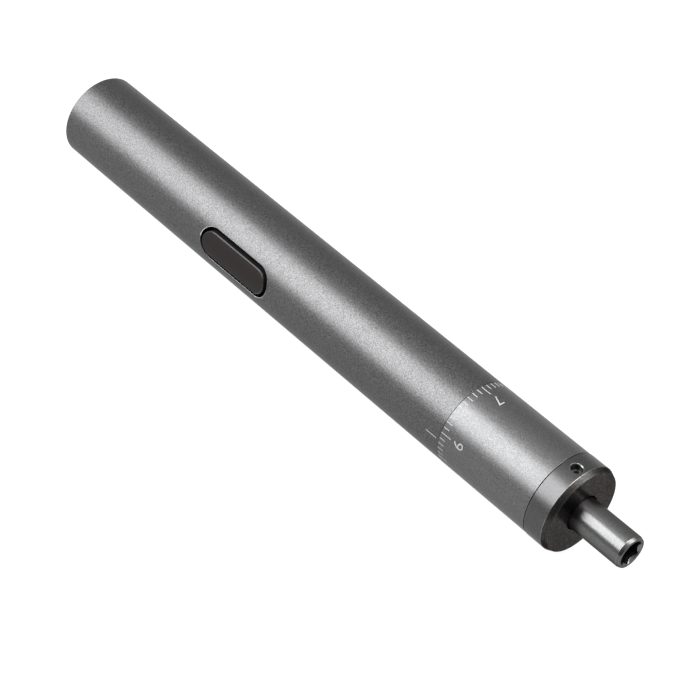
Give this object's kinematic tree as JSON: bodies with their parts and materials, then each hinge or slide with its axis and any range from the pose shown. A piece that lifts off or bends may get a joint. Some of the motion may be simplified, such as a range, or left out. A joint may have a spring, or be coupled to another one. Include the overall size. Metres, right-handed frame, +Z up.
{
  "type": "electric screwdriver",
  "caption": "Pen-shaped cordless electric screwdriver: slim metal tube with a rocker button, a turning numbered torque ring, a nose collar and a hexagonal bit socket.",
  "frame": {"origin": "On the table under the middle of the tool's length, midway between its sides.", "axes": "+X along the tool from the tail to the bit socket, +Z up; the tool lies on its side with its button turned 71.1 degrees from the top towards -Y."},
  "size_m": [0.1358, 0.0163, 0.0162],
  "materials": {
    "body_aluminium": "bead-blasted, anodised dark grey",
    "ring_aluminium": "fine bead-blasted, anodised dark grey",
    "collar_aluminium": "lathe-turned, anodised dark grey",
    "spindle_steel": "turned bright steel",
    "screw_steel": "blackened steel",
    "button_plastic": "flat matte black",
    "carrier_plastic": "moulded",
    "socket_steel": "stamped",
    "tongue_plastic": "moulded",
    "board_laminate": "solder mask",
    "cell_wrap": "shrink wrap",
    "contact_brass": "stamped strip",
    "motor_steel": "drawn",
    "gear_steel": "sintered",
    "sleeve_brass": "turned",
    "spring_steel": "oiled",
    "magnet_nickel": "nickel-plated"
  },
  "bodies": {
    "handle": {"body_tube": "body_aluminium", "rear_cap": "body_aluminium", "usb_c_shell": "socket_steel", "usb_c_tongue": "tongue_plastic", "charge_board": "board_laminate", "control_board": "board_laminate", "board_components": "tongue_plastic", "tact_switches": "tongue_plastic", "cell_carrier": "carrier_plastic", "battery_cell": "cell_wrap", "battery_tabs": "contact_brass", "rocker_pin": "screw_steel", "rocker_bracket": "carrier_plastic", "gear_motor": "motor_steel", "motor_terminals": "contact_brass", "motor_strips": "contact_brass", "clutch_ring_gear": "gear_steel", "nose_sleeve": "sleeve_brass", "pressure_plate": "gear_steel", "clutch_spring": "spring_steel", "nose_collar": "collar_aluminium", "collar_set_screw": "screw_steel"},
    "rocker": {"rocker_button": "button_plastic"},
    "ring": {"torque_ring": "ring_aluminium"},
    "nut": {"adjust_nut": "sleeve_brass"},
    "sun": {"sun_shaft": "gear_steel"},
    "spindle": {"spindle": "spindle_steel", "socket_magnet": "magnet_nickel"},
    "planet_a": {"planet_a": "gear_steel"},
    "planet_b": {"planet_b": "gear_steel"},
    "planet_c": {"planet_c": "gear_steel"}
  },
  "joints": [
    {"name": "spindle_spin", "type": "hinge", "parent": "handle", "child": "spindle", "pos_m": [0.04208, 0, 0.00808], "axis": [1, 0, 0], "continuous": true},
    {"name": "sun_spin", "type": "hinge", "parent": "handle", "child": "sun", "pos_m": [0.02187, 0, 0.00808], "axis": [1, 0, 0], "continuous": true},
    {"name": "planet_a_spin", "type": "hinge", "parent": "spindle", "child": "planet_a", "pos_m": [0.02187, -0.00341, 0.00925], "axis": [1, 0, 0], "continuous": true},
    {"name": "planet_b_spin", "type": "hinge", "parent": "spindle", "child": "planet_b", "pos_m": [0.02187, 0.00069, 0.00455], "axis": [1, 0, 0], "continuous": true},
    {"name": "planet_c_spin", "type": "hinge", "parent": "spindle", "child": "planet_c", "pos_m": [0.02187, 0.00271, 0.01045], "axis": [1, 0, 0], "continuous": true},
    {"name": "torque_ring_turn", "type": "hinge", "parent": "handle", "child": "ring", "pos_m": [0.04238, 0, 0.00808], "axis": [1, 0, 0], "range_deg": [-24.8, 308.2]},
    {"name": "nut_travel", "type": "slide", "parent": "ring", "child": "nut", "axis": [1, 0, 0], "range_m": [-0.0001, 0.00128], "deforming": ["clutch_spring"]},
    {"name": "rocker_tilt", "type": "hinge", "parent": "handle", "child": "rocker", "pos_m": [-0.01972, -0.00506, 0.00981], "axis": [0, -0.3239, -0.9461], "range_deg": [-2, 2], "stiffness_Nm_per_rad": 0.02}
  ],
  "couplings": [
    {"joint": "sun_spin", "follows": "spindle_spin", "ratio": 4},
    {"joint": "planet_a_spin", "follows": "spindle_spin", "ratio": -3},
    {"joint": "planet_b_spin", "follows": "spindle_spin", "ratio": -3},
    {"joint": "planet_c_spin", "follows": "spindle_spin", "ratio": -3},
    {"joint": "torque_ring_turn", "follows": "nut_travel", "rad_per_m": 4188.8}
  ]
}
